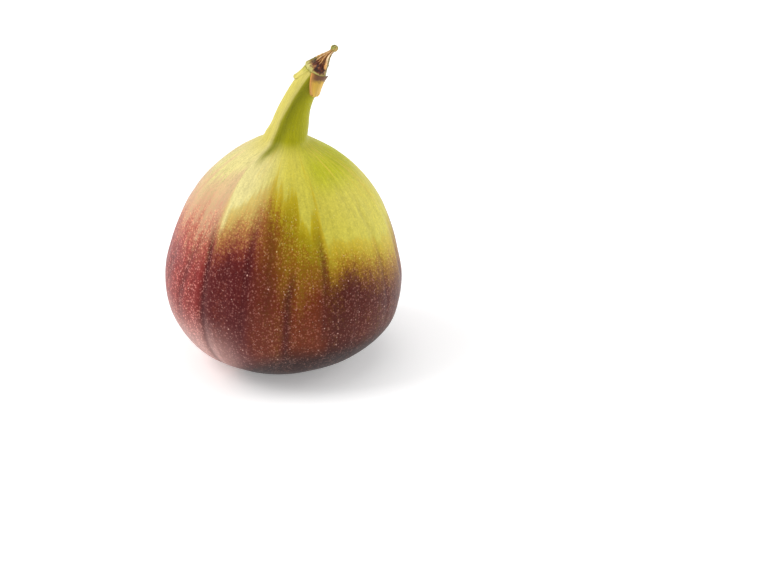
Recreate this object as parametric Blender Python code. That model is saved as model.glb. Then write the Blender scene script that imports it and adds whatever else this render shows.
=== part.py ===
"""Fresh fig, whole and uncut, standing on its blossom end, in metres with +Z up.

The origin is under the middle of the fruit, on the surface that it stands on. The front of the fruit faces -Y.
An angle round the fruit is 0 at the front and grows towards +X. The pieces are the fruit with its neck, the dry
stem stub at the neck's end, three basal bracts that hang from there, and the scales that close the eye beneath.
"""

import math

import bmesh
import bpy
import numpy as np

MM = 0.001

# The driving dimensions: the outline, the underside and the spine follow them.
BODY_RADIUS = 25.6 * MM
NECK_START = 50.4 * MM
RING_HEIGHT = 64.6 * MM  # where the green neck ends and the dry stub begins

# The outline from the edge of the flat contact ring up to the neck's end: (height in mm, radius as a share
# of the body's).
OUTLINE = (
    (0.0, 0.420),
    (0.4, 0.500),
    (1.5, 0.580),
    (4.9, 0.787),
    (9.9, 0.938),
    (14.9, 0.994),
    (19.9, 1.000),
    (24.8, 0.960),
    (29.7, 0.903),
    (34.7, 0.821),
    (39.6, 0.694),
    (44.5, 0.505),
    (47.6, 0.336),
    (49.6, 0.200),
    (51.4, 0.163),
    (54.4, 0.145),
    (57.8, 0.122),
    (61.2, 0.108),
    (64.6, 0.099),
)
# The underside, from the eye's closed end out to the edge of the flat contact ring: (height in mm, radius in mm).
UNDERSIDE = ((4.2, 1.9), (2.6, 2.3), (1.5, 3.1), (1.1, 3.9), (0.8, 5.6), (0.0, 7.5))

# The spine leans a little all the way up and bends towards +X through the neck.
LEAN = 0.055
BEND = 23.9  # per metre, of the height above the neck's start, squared
BASE_TURN = 12.0 * MM  # over this height the sections turn from level to square with the spine

# Shallow furrows run from the neck to the eye. Each is (angle in degrees, depth as a share of the deepest).
FURROWS = (
    (-57, 0.5),
    (-41, 1.0),
    (-26, 0.5),
    (4, 0.7),
    (24, 0.8),
    (44, 0.4),
    (62, 0.8),
    (83, 0.5),
    (103, 0.9),
    (121, 0.5),
    (142, 0.8),
    (163, 0.6),
    (184, 1.0),
    (203, 0.5),
    (222, 0.8),
    (243, 0.6),
    (262, 0.8),
    (283, 0.6),
)
FURROW_DEPTH = 0.30 * MM
FURROW_WIDTH = math.radians(4.5)
FURROW_FADE = 9.0 * MM  # over this height at either end of the skin the furrows fade in
FURROW_FULL_RADIUS = 0.5 * BODY_RADIUS  # thinner sections have furrows that are shallower in proportion
FLARE = 0.9 * MM  # the neck's foot spreads further down the -X shoulder
FLARE_HEIGHT = 50.2 * MM
FLARE_SPAN = 2.0 * MM
HOLLOW = 1.2 * MM  # and its +X side is drawn in where it meets the shoulder
HOLLOW_HEIGHT = 48.3 * MM
HOLLOW_SPAN = 2.7 * MM

GAP = 0.3 * MM  # between pieces that touch
SHARP_EDGE = math.radians(40)
ROUND_STEPS = 72
BODY_SECTIONS = 44


def smooth_step(x):
    """0 below 0, 1 above 1, and an S-shaped rise between."""
    x = np.clip(x, 0.0, 1.0)
    return x * x * (3.0 - 2.0 * x)


def curve_through(points, count):
    """A smooth curve (cardinal cubic) through the points, read at evenly shared steps between them."""
    points = np.asarray(points, float)
    padded = np.vstack([2 * points[0] - points[1], points, 2 * points[-1] - points[-2]])
    where = np.linspace(0.0, len(points) - 1.0, count)
    span = np.minimum(where.astype(int), len(points) - 2)
    t = (where - span)[:, None]
    p0, p1, p2, p3 = (padded[span + k] for k in range(4))
    return 0.5 * (
        2 * p1
        + (p2 - p0) * t
        + (2 * p0 - 5 * p1 + 4 * p2 - p3) * t**2
        + (3 * p1 - p0 - 3 * p2 + p3) * t**3
    )


def spine(height):
    """The middle of the section at a height, and the angle by which that section tips towards +X."""
    above = np.maximum(height - NECK_START, 0.0)
    x = LEAN * height + BEND * above**2
    slope = LEAN + 2.0 * BEND * above
    tip = np.arctan(slope) * smooth_step(height / BASE_TURN)
    return x, tip


def furrow_depth(angle, height):
    """How far the skin dips below the plain outline: each furrow is a bell across, and fades towards both ends."""
    dip = np.zeros(np.broadcast(angle, height).shape)
    for degrees, share in FURROWS:
        away = (angle - math.radians(degrees) + math.pi) % (2 * math.pi) - math.pi
        dip = dip + share * np.exp(-((away / FURROW_WIDTH) ** 2))
    fade = smooth_step(height / FURROW_FADE) * smooth_step((RING_HEIGHT - height) / FURROW_FADE)
    return FURROW_DEPTH * dip * fade


def skin_point(angle, height, radius):
    """Points of the skin, from the angle round the fruit, the section's height and its plain radius."""
    x, tip = spine(height)
    near_foot = np.exp(-(((height - FLARE_HEIGHT) / FLARE_SPAN) ** 2))
    flare = FLARE * near_foot * np.maximum(-np.sin(angle), 0.0) ** 2
    near_hollow = np.exp(-(((height - HOLLOW_HEIGHT) / HOLLOW_SPAN) ** 2))
    hollow = HOLLOW * near_hollow * np.maximum(np.sin(angle), 0.0) ** 2
    out = radius + flare - hollow - furrow_depth(angle, height) * np.minimum(radius / FURROW_FULL_RADIUS, 1.0)
    across = out * np.sin(angle)
    return np.stack(
        [
            x + across * np.cos(tip),
            -out * np.cos(angle) + 0.0 * height,
            height - across * np.sin(tip),
        ],
        axis=-1,
    )


def ring_frame():
    """The middle of the neck's end face, and its three directions: along the stem, sideways and to the front."""
    x, tip = spine(RING_HEIGHT)
    along = np.array([math.sin(tip), 0.0, math.cos(tip)])
    side = np.array([math.cos(tip), 0.0, -math.sin(tip)])
    return np.array([x, 0.0, RING_HEIGHT]), along, side, np.array([0.0, -1.0, 0.0])


def material(name, colour, roughness):
    """A Principled material with the piece's own colour."""
    made = bpy.data.materials.new(name)
    made.use_nodes = True
    shader = made.node_tree.nodes["Principled BSDF"]
    shader.inputs["Base Color"].default_value = (*colour, 1.0)
    shader.inputs["Roughness"].default_value = roughness
    shader.inputs["Metallic"].default_value = 0.0
    made.diffuse_color = (*colour, 1.0)
    return made


def add_object(name, mesh_builder, finish):
    """A named object from a bmesh, with its normals outwards and its round faces shaded smooth."""
    bmesh.ops.recalc_face_normals(mesh_builder, faces=mesh_builder.faces)
    mesh = bpy.data.meshes.new(name)
    mesh_builder.to_mesh(mesh)
    mesh_builder.free()
    mesh.shade_smooth()
    mesh.set_sharp_from_angle(angle=SHARP_EDGE)
    mesh.materials.append(finish)
    made = bpy.data.objects.new(name, mesh)
    bpy.context.scene.collection.objects.link(made)
    return made


def add_loft(mesh_builder, rings):
    """Skins a stack of closed rings, each with the same number of points, and closes both ends."""
    loops = [[mesh_builder.verts.new(p) for p in ring] for ring in rings]
    for lower, upper in zip(loops, loops[1:]):
        for k in range(len(lower)):
            after = (k + 1) % len(lower)
            mesh_builder.faces.new((lower[k], lower[after], upper[after], upper[k]))
    mesh_builder.faces.new(loops[0][::-1])
    mesh_builder.faces.new(loops[-1])


def add_plate(mesh_builder, inner, outer):
    """A thin closed plate between two grids of points that face each other."""
    rows, columns = inner.shape[:2]
    sides = [[[mesh_builder.verts.new(p) for p in row] for row in grid] for grid in (inner, outer)]
    near, far = sides
    for r in range(rows - 1):
        for c in range(columns - 1):
            mesh_builder.faces.new((near[r][c], near[r + 1][c], near[r + 1][c + 1], near[r][c + 1]))
            mesh_builder.faces.new((far[r][c], far[r][c + 1], far[r + 1][c + 1], far[r + 1][c]))
    rim = [(0, c) for c in range(columns)] + [(r, columns - 1) for r in range(1, rows)]
    rim += [(rows - 1, c) for c in range(columns - 2, -1, -1)] + [(r, 0) for r in range(rows - 2, 0, -1)]
    for (r, c), (r2, c2) in zip(rim, rim[1:] + rim[:1]):
        mesh_builder.faces.new((near[r][c], near[r2][c2], far[r2][c2], far[r][c]))


def make_fruit(finish):
    """The body and neck as one solid: the eye's hollow, the flat contact ring, the body, shoulder and neck."""
    angles = np.linspace(0.0, 2.0 * math.pi, ROUND_STEPS, endpoint=False)
    outline = curve_through([(h * MM, share * BODY_RADIUS) for h, share in OUTLINE], BODY_SECTIONS)
    under = np.asarray(UNDERSIDE) * MM
    rings = []
    for height, radius in under:
        rings.append(np.stack([radius * np.sin(angles), -radius * np.cos(angles), 0 * angles + height], axis=-1))
    for height, radius in outline:
        rings.append(skin_point(angles, np.full_like(angles, height), radius))
    builder = bmesh.new()
    add_loft(builder, rings)
    return add_object("fruit", builder, finish)


# The stub's rings: (way along the stem, sideways shift, radius) in mm, from the neck's end to the tip.
STUB = (
    (0.0, -0.25, 2.30),
    (0.7, -0.30, 2.42),
    (1.9, -0.22, 2.02),
    (3.0, -0.18, 1.58),
    (4.0, -0.14, 1.10),
    (4.7, -0.06, 0.80),
    (5.3, 0.06, 0.58),
    (5.8, 0.16, 0.56),
    (6.25, 0.22, 0.76),
    (6.75, 0.25, 0.76),
    (7.15, 0.25, 0.46),
)
STUB_STEPS = 18
STUB_FOLDS = 6
STUB_FOLD_DEPTH = 0.07
STUB_SMOOTH_RADIUS = 0.75 * MM  # sections thinner than this have no folds


def make_stub(finish):
    """The shrivelled stem stub: a folded cone that narrows to a neck and ends in a small hooked knob."""
    middle, along, side, front = ring_frame()
    angles = np.linspace(0.0, 2.0 * math.pi, STUB_STEPS, endpoint=False)
    folds = 1.0 + STUB_FOLD_DEPTH * np.cos(STUB_FOLDS * angles)
    rings = []
    for way, shift, radius in STUB:
        centre = middle + along * (way * MM + GAP) + side * (shift * MM)
        out = radius * MM * (folds if radius * MM > STUB_SMOOTH_RADIUS else np.ones(STUB_STEPS))
        rings.append(
            centre + np.outer(out * np.sin(angles), side) + np.outer(out * np.cos(angles), front)
        )
    builder = bmesh.new()
    add_loft(builder, rings)
    return add_object("stem_stub", builder, finish)


# Each bract: (name, angle round the neck at its root and at its tip in degrees, then in mm how far above the
# neck's end its root lies, its length, its half width at the root and at the tip, and how far the tip stands off).
BRACTS = (
    ("bract_left", -82.0, -92.0, 0.0, 2.8, 1.7, 0.9, 0.4),
    ("bract_right", 27.0, 58.0, 0.5, 3.9, 2.3, 1.9, 0.5),
    ("bract_back", 176.0, 184.0, 0.0, 2.8, 1.9, 0.7, 0.3),
)
BRACT_THICKNESS = 0.4 * MM
BRACT_ROUNDING = 0.15  # a bract's edges are this share shorter than its middle
BRACT_ROWS = 9
BRACT_COLUMNS = 9


def bract_grid(root_angle, tip_angle, rise, length, root_half, tip_half, stand_off, offset):
    """One face of a bract, as a grid over the neck: it narrows to a blunt tip and lifts away from the skin."""
    down = np.linspace(0.0, 1.0, BRACT_ROWS)[:, None]
    across = np.linspace(-1.0, 1.0, BRACT_COLUMNS)[None, :]
    heights, radii = curve_through([(h * MM, s * BODY_RADIUS) for h, s in OUTLINE], BODY_SECTIONS).T
    height = RING_HEIGHT + rise * MM - length * MM * down * (1.0 - BRACT_ROUNDING * across**2)
    radius = np.interp(height, heights, radii)
    half = (root_half + (tip_half - root_half) * down) * MM
    turn = np.radians(root_angle + (tip_angle - root_angle) * down) + across * half / radius
    lift = GAP + offset + stand_off * MM * down**2
    return skin_point(turn, height, radius + lift)


def make_bract(name, shape, finish):
    """A thin scale that hangs from the neck's end, over the top of the neck."""
    builder = bmesh.new()
    add_plate(builder, bract_grid(*shape, 0.0), bract_grid(*shape, BRACT_THICKNESS))
    return add_object(name, builder, finish)


# The eye's scales lie in two rings: (name, count, first angle in degrees, root radius, tip radius, root height,
# tip height), in mm.
SCALE_RINGS = (
    ("outer", 6, 10.0, 3.5, 1.1, 0.62, 0.30),
    ("inner", 5, 34.0, 2.3, 0.5, 1.62, 1.20),
)
SCALE_THICKNESS = 0.3 * MM
SCALE_SPREAD = 0.74  # the share of its sector that a scale's root takes
SCALE_TAPER = 0.8  # a scale's tip is narrower than its root by this share
SCALE_ROWS = 5
SCALE_COLUMNS = 5


def scale_grid(middle_angle, sector, root, tip, root_height, tip_height, offset):
    """One face of an eye scale: a pointed leaf that runs from the eye's lip in towards the middle."""
    inwards = np.linspace(0.0, 1.0, SCALE_ROWS)[:, None]
    across = np.linspace(-1.0, 1.0, SCALE_COLUMNS)[None, :]
    radius = (root + (tip - root) * inwards) * MM + 0.0 * across
    half = 0.5 * sector * SCALE_SPREAD * root * MM * (1.0 - SCALE_TAPER * inwards**1.5)
    angle = middle_angle + across * half / radius
    height = (root_height + (tip_height - root_height) * inwards) * MM + 0.0 * across + offset
    return np.stack([radius * np.sin(angle), -radius * np.cos(angle), height], axis=-1)


def make_eye_scales(finish):
    """The small scales that close the eye, each a solid of its own."""
    made = []
    for ring_name, count, first, *path in SCALE_RINGS:
        sector = 2.0 * math.pi / count
        for k in range(count):
            shape = (math.radians(first) + k * sector, sector, *path)
            builder = bmesh.new()
            add_plate(builder, scale_grid(*shape, 0.0), scale_grid(*shape, SCALE_THICKNESS))
            made.append(add_object(f"eye_scale_{ring_name}_{k + 1}", builder, finish))
    return made


def centre_over_origin(pieces):
    """Moves every piece so that the origin lies under the middle of the whole, on the surface that it stands on."""
    bpy.context.view_layer.update()
    corners = np.array([v.co[:] for piece in pieces for v in piece.data.vertices])
    low, high = corners.min(axis=0), corners.max(axis=0)
    for piece in pieces:
        piece.location = (-0.5 * (low[0] + high[0]), -0.5 * (low[1] + high[1]), -low[2])


def main():
    for old in list(bpy.data.objects):
        bpy.data.objects.remove(old)
    skin = material("skin", (0.30, 0.16, 0.08), 0.42)
    dry_stem = material("dry_stem", (0.30, 0.18, 0.06), 0.7)
    bract_skin = material("bract_skin", (0.55, 0.40, 0.08), 0.55)
    eye_skin = material("eye_skin", (0.20, 0.07, 0.05), 0.65)
    pieces = [make_fruit(skin), make_stub(dry_stem)]
    pieces += [make_bract(name, shape, bract_skin) for name, *shape in BRACTS]
    pieces += make_eye_scales(eye_skin)
    centre_over_origin(pieces)


main()
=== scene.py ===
"""The looks of a whole fresh fig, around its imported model, in metres with +Z up.

The front faces -Y. An angle round the fig is 0 at the front and grows towards +X, and a height is measured
up the spine from the foot. Lengths in the tables are in millimetres of the drawing, and MM is one of those
as the frame has it.
"""

from collections import namedtuple
import math

import bpy
import numpy as np
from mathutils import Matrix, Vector


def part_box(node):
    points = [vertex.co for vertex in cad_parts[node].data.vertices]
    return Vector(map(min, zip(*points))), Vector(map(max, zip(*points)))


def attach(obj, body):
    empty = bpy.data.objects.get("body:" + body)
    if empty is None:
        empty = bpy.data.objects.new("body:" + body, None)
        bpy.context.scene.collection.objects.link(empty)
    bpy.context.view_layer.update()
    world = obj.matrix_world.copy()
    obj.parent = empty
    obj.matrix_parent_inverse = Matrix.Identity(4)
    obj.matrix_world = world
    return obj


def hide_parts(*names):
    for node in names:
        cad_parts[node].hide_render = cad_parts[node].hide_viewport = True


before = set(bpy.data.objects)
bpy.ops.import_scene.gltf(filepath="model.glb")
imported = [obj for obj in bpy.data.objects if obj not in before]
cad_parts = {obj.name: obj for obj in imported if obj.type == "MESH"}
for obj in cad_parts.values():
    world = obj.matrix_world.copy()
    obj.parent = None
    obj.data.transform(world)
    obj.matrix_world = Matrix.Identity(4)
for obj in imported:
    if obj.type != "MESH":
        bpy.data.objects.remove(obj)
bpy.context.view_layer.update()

# ---------------------------------------------------------------- sizes, from the frame

DRAWN_HEIGHT = 66.1  # of the fruit with its neck, in millimetres of the drawing
fruit_low, fruit_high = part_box("fruit")
MM = fruit_high.z / DRAWN_HEIGHT
RIB_ROOM = 0.17 * MM  # kept free round the body for the finished skin's low ribs
BODY_RADIUS = 0.5 * (fruit_high.y - fruit_low.y) - RIB_ROOM
FOOT_LAYER = 0.05 * MM  # the points below this are the flat ring that the fig stands on
fruit_points = np.array([v.co[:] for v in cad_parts["fruit"].data.vertices])
foot_points = fruit_points[fruit_points[:, 2] < FOOT_LAYER]
FOOT = 0.5 * (foot_points.min(axis=0) + foot_points.max(axis=0))

NECK_START = 50.4 * MM
RING_HEIGHT = 64.6 * MM  # the neck's end, where the stub and the bracts grow
GAP = 0.1 * MM  # between the neck's end and the stub

# The outline, from the flat contact ring up to the neck's end: (height, radius as a share of the body's).
OUTLINE = (
    (0.0, 0.420), (0.4, 0.500), (1.5, 0.580), (4.9, 0.787), (9.9, 0.938), (14.9, 0.994), (19.9, 1.000),
    (24.8, 0.960), (29.7, 0.903), (34.7, 0.821), (39.6, 0.694), (44.5, 0.505), (47.6, 0.336), (49.6, 0.200),
    (51.4, 0.163), (54.4, 0.145), (57.8, 0.122), (61.2, 0.108), (64.6, 0.099),
)
# The underside, from the eye's closed end out to the contact ring: (height, radius).
UNDERSIDE = ((4.2, 0.3), (4.1, 1.5), (2.6, 2.3), (1.5, 3.1), (1.1, 3.9), (0.8, 5.6), (0.15, 7.6), (0.0, 9.2))

LEAN = 0.055  # of the spine towards +X
BEND = 0.0239 / MM  # of the neck's spine, per height above the neck's start, squared
BASE_TURN = 12.0 * MM  # over this height the sections turn from level to square with the spine
FLARE, FLARE_HEIGHT, FLARE_SPAN = 0.9 * MM, 50.2 * MM, 2.0 * MM  # the neck's foot stands out on its -X side
HOLLOW, HOLLOW_HEIGHT, HOLLOW_SPAN = 1.2 * MM, 48.3 * MM, 2.7 * MM  # and is drawn in on its +X side

ROUND_STEPS = 384
BODY_ROWS = 216
UNDER_ROWS = 30


def eased(x, start, end):
    """0 up to the start and 1 from the end on, with an S-shaped way between. The end may be the lower one."""
    share = np.clip((x - start) / (end - start), 0.0, 1.0)
    return share * share * (3.0 - 2.0 * share)


def bell(x):
    """1 at 0, falling away on both sides as a Gaussian."""
    return np.exp(-np.square(x))


def vectors(x, y, z):
    """Points or vectors from their three parts, each spread over the whole grid."""
    return np.stack(np.broadcast_arrays(x, y, z), axis=-1)


def curve_through(points, count):
    """A smooth curve (cardinal cubic) through the points, read at evenly shared steps between them."""
    points = np.asarray(points, float)
    padded = np.vstack([2 * points[0] - points[1], points, 2 * points[-1] - points[-2]])
    where = np.linspace(0.0, len(points) - 1.0, count)
    span = np.minimum(where.astype(int), len(points) - 2)
    t = (where - span)[:, None]
    p0, p1, p2, p3 = (padded[span + k] for k in range(4))
    return 0.5 * (
        2 * p1
        + (p2 - p0) * t
        + (2 * p0 - 5 * p1 + 4 * p2 - p3) * t**2
        + (3 * p1 - p0 - 3 * p2 + p3) * t**3
    )


def along_heights(table, height):
    """Reads a table of (height in mm, value) at each height, with straight runs between its rows."""
    heights, values = np.array(sorted(table), float).T
    return np.interp(height / MM, heights, values)


def turned_from(angle, middle):
    """How far an angle in radians is from another in degrees, the short way round, in degrees."""
    return (np.degrees(angle) - middle + 180.0) % 360.0 - 180.0


def spine(height):
    """The middle of the section at a height, and the angle by which that section tips towards +X."""
    above = np.maximum(height - NECK_START, 0.0)
    slope = LEAN + 2.0 * BEND * above
    return LEAN * height + BEND * above**2, np.arctan(slope) * eased(height, 0.0, BASE_TURN)


def place(angle, height, radius):
    """Points at a radius round the spine: sections stay square with the spine as it bends.

    The neck's foot flares out on its -X side and is drawn in on its +X side, each as a bell over the height.
    """
    middle, tip = spine(height)
    near_foot = bell((height - FLARE_HEIGHT) / FLARE_SPAN)
    near_hollow = bell((height - HOLLOW_HEIGHT) / HOLLOW_SPAN)
    out = radius + FLARE * near_foot * np.maximum(-np.sin(angle), 0.0) ** 2
    out = out - HOLLOW * near_hollow * np.maximum(np.sin(angle), 0.0) ** 2
    across = out * np.sin(angle)
    return FOOT + vectors(middle + across * np.cos(tip), -out * np.cos(angle), height - across * np.sin(tip))


outline = curve_through([(h * MM, share * BODY_RADIUS) for h, share in OUTLINE], BODY_ROWS)
outline_heights, outline_radii = outline.T

# ---------------------------------------------------------------- meshes


def surface(name, grid, finish, fields):
    """A closed skin over a grid of points: its rows are rings, and a middle point closes each end.

    fields holds a value, or a vector, for each point of the grid, which the material reads by name. A field
    that is the same along a row or a column may have just one of it.
    """
    rows, columns = grid.shape[:2]
    points = np.concatenate([grid.reshape(-1, 3), [grid[0].mean(axis=0), grid[-1].mean(axis=0)]])
    index = np.arange(rows * columns).reshape(rows, columns)
    after = np.roll(index, -1, axis=1)
    sides = np.stack([index[:-1], after[:-1], after[1:], index[1:]], axis=-1).reshape(-1, 4)
    first, last = np.full(columns, rows * columns), np.full(columns, rows * columns + 1)
    ends = np.concatenate([
        np.stack([first, after[0], index[0]], axis=-1),
        np.stack([last, index[-1], after[-1]], axis=-1),
    ])
    corners = np.concatenate([sides.reshape(-1), ends.reshape(-1)]).astype(np.int32)
    sizes = np.concatenate([np.full(len(sides), 4), np.full(len(ends), 3)])
    starts = np.concatenate([[0], np.cumsum(sizes)[:-1]]).astype(np.int32)
    mesh = bpy.data.meshes.new(name)
    mesh.vertices.add(len(points))
    mesh.vertices.foreach_set("co", points.astype(np.float32).reshape(-1))
    mesh.loops.add(len(corners))
    mesh.loops.foreach_set("vertex_index", corners)
    mesh.polygons.add(len(sizes))
    mesh.polygons.foreach_set("loop_start", starts)
    mesh.update(calc_edges=True)
    mesh.validate()
    for field, values in fields.items():
        wide = values.ndim == 3
        spread = np.broadcast_to(values, (rows, columns) + values.shape[2:]).reshape(rows * columns, -1)
        ends = [spread[:columns].mean(axis=0), spread[-columns:].mean(axis=0)]
        flat = np.concatenate([spread, ends]).astype(np.float32).reshape(-1)
        attribute = mesh.attributes.new(field, "FLOAT_VECTOR" if wide else "FLOAT", "POINT")
        attribute.data.foreach_set("vector" if wide else "value", flat)
    mesh.shade_smooth()
    mesh.materials.append(finish)
    made = bpy.data.objects.new(name, mesh)
    bpy.context.scene.collection.objects.link(made)
    return made


def fit_piece(piece, node):
    """The piece rides on the fig and stands for its CAD node, which is hidden."""
    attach(piece, "root")
    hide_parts(node)


# ---------------------------------------------------------------- node trees


def linear(red, green, blue):
    """A screen colour, 0 to 255 for each part, as the linear colour that a shader takes."""
    parts = [v / 255.0 for v in (red, green, blue)]
    return tuple(v / 12.92 if v <= 0.04045 else ((v + 0.055) / 1.055) ** 2.4 for v in parts) + (1.0,)


NOISE_BAND = (0.3, 0.7)  # nearly all of a noise's values lie in here
GRAIN_BAND = (0.35, 0.65)  # and this is a narrower band, for a crisper grain


class Wiring:
    """Adds nodes to one tree. An input given a socket is linked to it, and any other value is set."""

    def __init__(self, tree):
        self.tree = tree

    def give(self, socket, value):
        if isinstance(value, bpy.types.NodeSocket):
            self.tree.links.new(value, socket)
        else:
            socket.default_value = value

    def add(self, kind, sockets, **settings):
        made = self.tree.nodes.new(kind)
        for key, value in settings.items():
            setattr(made, key, value)
        for key, value in sockets.items():
            self.give(made.inputs[key], value)
        return made

    def maths(self, operation, first, second, clamp=False):
        made = self.add("ShaderNodeMath", {0: first, 1: second}, operation=operation, use_clamp=clamp)
        return made.outputs["Value"]

    def plus(self, first, second):
        return self.maths("ADD", first, second)

    def minus(self, first, second):
        return self.maths("SUBTRACT", first, second)

    def times(self, first, second):
        return self.maths("MULTIPLY", first, second)

    def field(self, name, output="Fac"):
        """A value, or as output "Vector" a vector, that the mesh holds at each of its points."""
        return self.add("ShaderNodeAttribute", {}, attribute_name=name).outputs[output]

    def noise(self, vector, scale, detail, roughness=0.5):
        sockets = {"Vector": vector, "Scale": scale, "Detail": detail, "Roughness": roughness}
        return self.add("ShaderNodeTexNoise", sockets).outputs["Fac"]

    def stretch(self, vector, factors):
        """The vector with each part times its factor. A small factor draws a pattern out that way."""
        return self.add("ShaderNodeMapping", {"Vector": vector, "Scale": factors}).outputs["Vector"]

    def spread(self, value, low, high, to_low=0.0, to_high=1.0):
        """The value carried from one range to another, and kept inside it, with a smooth start and end."""
        sockets = {"Value": value, "From Min": low, "From Max": high, "To Min": to_low, "To Max": to_high}
        return self.add("ShaderNodeMapRange", sockets, interpolation_type="SMOOTHSTEP").outputs["Result"]

    def sway(self, noise, reach, middle=0.0, band=NOISE_BAND):
        """From the middle less the reach, at the low end of the noise's band, to the middle plus the reach."""
        return self.spread(noise, *band, middle - reach, middle + reach)

    def fibres(self, pattern, scale):
        """Fine fibres along a piece, from 0 to 1."""
        sockets = {"Pattern": pattern, "Scale": scale}
        return self.add("ShaderNodeGroup", sockets, node_tree=fibres_group).outputs["Fibres"]

    def pores(self, pattern, scale, size):
        """Round pores, 1 at their middles and 0 between them. The size is in cells of the pattern."""
        sockets = {"Pattern": pattern, "Scale": scale, "Size": size}
        return self.add("ShaderNodeGroup", sockets, node_tree=pores_group).outputs["Dots"]

    def ramp(self, value, stops):
        """The colour at a value, from stops of (value, screen colour)."""
        made = self.add("ShaderNodeValToRGB", {"Fac": value})
        points = made.color_ramp.elements
        while len(points) < len(stops):
            points.new(1.0)
        for point, (position, colour) in zip(points, stops):
            point.position = position
            point.color = linear(*colour)
        return made.outputs["Color"]

    def blend(self, amount, under, over, mode="MIX"):
        made = self.add("ShaderNodeMix", {}, data_type="RGBA", blend_type=mode)
        for key, value in (("Factor", amount), ("A", under), ("B", over)):
            self.give(next(s for s in made.inputs if s.name == key and s.enabled), value)
        return next(s for s in made.outputs if s.enabled)

    def paint(self, amount, under, colour):
        """The colour under it, painted over with one screen colour."""
        return self.blend(amount, under, linear(*colour))

    def shade(self, colour, amount):
        """The colour with each of its parts times the amount, which is 1 where it stays as it is."""
        sockets = {"Red": amount, "Green": amount, "Blue": amount}
        grey = self.add("ShaderNodeCombineColor", sockets).outputs["Color"]
        return self.blend(1.0, colour, grey, "MULTIPLY")


def new_group(name, inputs, output):
    """An empty node group: returns its tree, its wiring, its inputs, and the socket that takes its output."""
    tree = bpy.data.node_groups.new(name, "ShaderNodeTree")
    for label, kind in inputs:
        tree.interface.new_socket(name=label, in_out="INPUT", socket_type=kind)
    tree.interface.new_socket(name=output, in_out="OUTPUT", socket_type="NodeSocketFloat")
    entry = tree.nodes.new("NodeGroupInput")
    end = tree.nodes.new("NodeGroupOutput")
    return tree, Wiring(tree), entry.outputs, end.inputs[output]


def build_fibres_group():
    """Fine fibres that run along a piece: noise, drawn out along the third axis of the piece's pattern."""
    inputs = (("Pattern", "NodeSocketVector"), ("Scale", "NodeSocketFloat"))
    tree, wire, given, output = new_group("Fibre streaks", inputs, "Fibres")
    drawn_out = wire.stretch(given["Pattern"], (1.0, 1.0, 0.07))
    tree.links.new(wire.noise(drawn_out, given["Scale"], 3.0, 0.6), output)
    return tree


def build_pores_group():
    """Small raised pores: a round dot in each cell of a pattern, with its own size and its own brightness."""
    inputs = (("Pattern", "NodeSocketVector"), ("Scale", "NodeSocketFloat"), ("Size", "NodeSocketFloat"))
    tree, wire, given, output = new_group("Pore specks", inputs, "Dots")
    sockets = {"Vector": given["Pattern"], "Scale": given["Scale"], "Randomness": 1.0}
    cells = wire.add("ShaderNodeTexVoronoi", sockets).outputs
    chance = wire.add("ShaderNodeSeparateColor", {"Color": cells["Color"]}).outputs
    reach = wire.times(given["Size"], wire.spread(chance["Red"], 0.0, 1.0, 0.45, 1.25))
    core = wire.times(reach, 0.45)
    dot = wire.add("ShaderNodeMapRange", {"Value": cells["Distance"], "From Min": reach, "From Max": core})
    brightness = wire.spread(chance["Green"], 0.25, 1.0, 0.1, 1.0)
    tree.links.new(wire.times(dot.outputs["Result"], brightness), output)
    return tree


fibres_group = build_fibres_group()
pores_group = build_pores_group()


def new_material(name, roughness):
    """A material with one Principled shader: returns it, its wiring and the shader's inputs."""
    made = bpy.data.materials.new(name)
    made.use_nodes = True
    shader = made.node_tree.nodes["Principled BSDF"].inputs
    shader["Roughness"].default_value = roughness
    return made, Wiring(made.node_tree), shader


def connect(wire, shader, colour, roughness, height, depth, strength):
    """Puts a colour, a roughness and a relief into the shader's sockets."""
    bump = wire.add("ShaderNodeBump", {"Height": height, "Distance": depth, "Strength": strength})
    wire.give(shader["Base Color"], colour)
    wire.give(shader["Roughness"], roughness)
    wire.give(shader["Normal"], bump.outputs["Normal"])


# ---------------------------------------------------------------- the skin's tables

# The crest that starts at the neck's end, winds down the neck and fades on the shoulder: (height, angle).
CREST_PATH = (
    (20.0, -40.0), (33.0, -41.0), (39.3, -43.0), (44.0, -45.0), (48.0, -47.5), (50.3, -50.0), (54.1, -45.0),
    (57.0, -37.0), (60.8, -31.0), (64.6, -28.0),
)
CREST_RISE = ((30.0, 0.0), (36.0, 0.14), (44.0, 0.20), (48.0, 0.12), (52.0, 0.10), (60.0, 0.10), (64.6, 0.0))
CREST_WIDTH = ((40.0, 1.6), (44.0, 1.9), (48.0, 3.2), (51.0, 7.0), (56.0, 11.0))
# The deep groove on the crest's +X side, down the neck, and the valley on its -X side, down the body.
GROOVE_OFFSET = (
    (43.0, 2.0), (48.0, 5.0), (51.0, 16.0), (54.0, 22.0), (57.0, 21.0), (60.0, 23.0), (64.6, 26.0),
)
GROOVE_DEPTH = ((45.5, 0.0), (48.5, 0.11), (51.5, 0.38), (57.0, 0.42), (61.0, 0.28), (64.6, 0.0))
GROOVE_WIDTH = ((44.0, 2.0), (48.0, 5.0), (51.0, 12.0), (54.0, 16.0), (64.6, 20.0))
GROOVE_FAR_SIDE = 0.6  # the groove's +X side rises this much less steeply
VALLEY_PATH = (
    (0.0, -42.0), (13.0, -42.0), (23.0, -43.0), (29.0, -44.0), (36.0, -47.0), (42.5, -49.0), (48.0, -51.0),
)
VALLEY_DEPTH = ((2.0, 0.0), (7.0, 0.25), (16.0, 0.34), (30.0, 0.30), (40.0, 0.22), (49.0, 0.0))
VALLEY_WIDTH = ((0.0, 2.8), (30.0, 2.6), (42.0, 4.2))

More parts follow.
